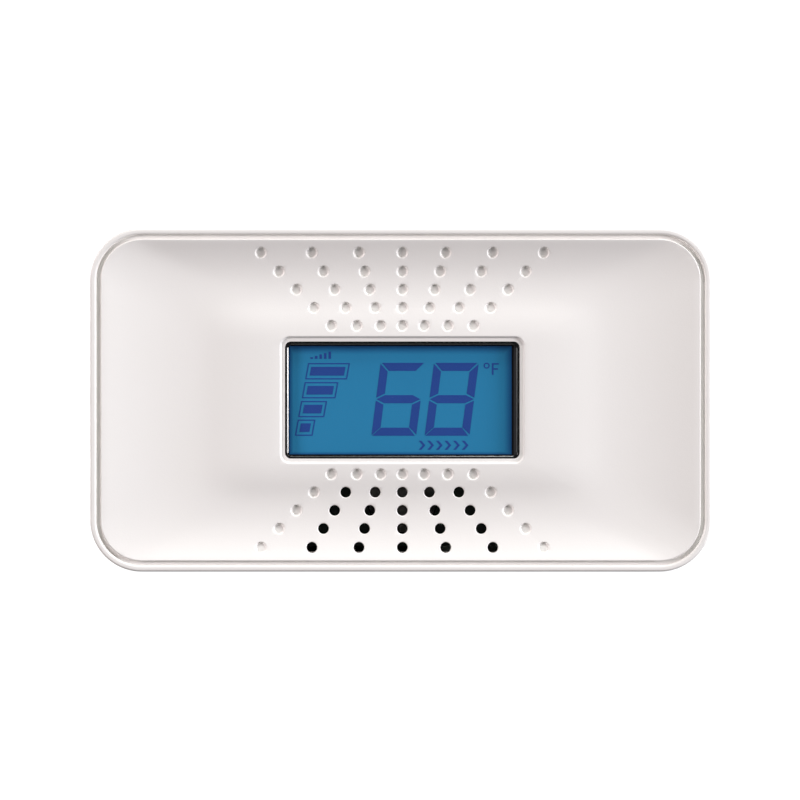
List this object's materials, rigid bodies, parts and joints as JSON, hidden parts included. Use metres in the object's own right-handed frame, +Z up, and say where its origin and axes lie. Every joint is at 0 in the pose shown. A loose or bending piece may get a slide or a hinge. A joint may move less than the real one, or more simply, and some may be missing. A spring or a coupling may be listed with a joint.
{
  "type": "carbon monoxide detector",
  "caption": "Rounded rectangular desk or wall gas alarm with a dished front, a fan of small holes, a framed blue display, a top button and rear slide switches.",
  "frame": {"origin": "middle of the underside, at the bottom centre of the bounding box", "axes": "+X to the right seen from the front, the front faces -Y, +Z up"},
  "size_m": [0.115, 0.038, 0.0635],
  "materials": {
    "ivory_abs": "fine moulded texture, off-white",
    "black_gloss_abs": "black, glossy",
    "clear_acrylic": "clear",
    "blue_lcd": "blue display with darker blue segments",
    "diffuser_acrylic": "milky",
    "natural_abs": "natural moulded",
    "silicone_rubber": "grey silicone",
    "grey_rubber": "matt grey",
    "black_resin": "moulded black",
    "plated_steel": "zinc plated",
    "brass_plate": "dull rolled",
    "circuit_board": "green solder mask",
    "battery_sleeve": "plain shrink sleeve"
  },
  "bodies": {
    "root": {"rear_housing": "ivory_abs", "front_cover": "ivory_abs", "display_bezel": "black_gloss_abs", "display_lens": "clear_acrylic", "lcd_panel": "blue_lcd", "light_guide": "diffuser_acrylic", "lcd_holder": "natural_abs", "zebra_strip_lower": "silicone_rubber", "zebra_strip_upper": "silicone_rubber", "backlight_led_left": "diffuser_acrylic", "backlight_led_right": "diffuser_acrylic", "tact_switch_body": "black_resin", "activation_switch_body": "plated_steel", "unit_switch_body": "plated_steel", "main_board": "circuit_board", "switch_board": "circuit_board", "microcontroller": "black_resin", "horn_inductor": "black_resin", "storage_capacitor": "plated_steel", "co_sensor_body": "plated_steel", "co_sensor_cap": "black_resin", "sounder_chamber": "black_resin", "piezo_disc": "brass_plate", "sounder_contact_1": "brass_plate", "sounder_contact_2": "brass_plate", "sounder_contact_3": "brass_plate", "battery_cell": "battery_sleeve", "battery_holder": "black_resin", "battery_contact_positive": "plated_steel", "battery_contact_negative": "plated_steel", "housing_screw_1": "plated_steel", "housing_screw_2": "plated_steel", "housing_screw_3": "plated_steel", "housing_screw_4": "plated_steel", "board_screw_1": "plated_steel", "board_screw_2": "plated_steel", "board_screw_3": "plated_steel", "board_screw_4": "plated_steel", "switch_board_screw_1": "plated_steel", "switch_board_screw_2": "plated_steel", "foot_pad_1": "grey_rubber", "foot_pad_2": "grey_rubber", "foot_pad_3": "grey_rubber", "foot_pad_4": "grey_rubber"},
    "test_button": {"test_button": "ivory_abs", "tact_plunger": "black_resin"},
    "activation_slider": {"activation_slider": "ivory_abs"},
    "unit_slider": {"unit_slider": "black_resin"}
  },
  "joints": [
    {"name": "test_button_press", "type": "slide", "parent": "root", "child": "test_button", "axis": [0, 0, -1], "range_m": [0, 0.0008], "stiffness_N_per_m": 2000, "springref_m": -0.0006},
    {"name": "activation_slide", "type": "slide", "parent": "root", "child": "activation_slider", "axis": [-1, 0, 0], "range_m": [0, 0.006]},
    {"name": "unit_slide", "type": "slide", "parent": "root", "child": "unit_slider", "axis": [-1, 0, 0], "range_m": [0, 0.003]}
  ]
}
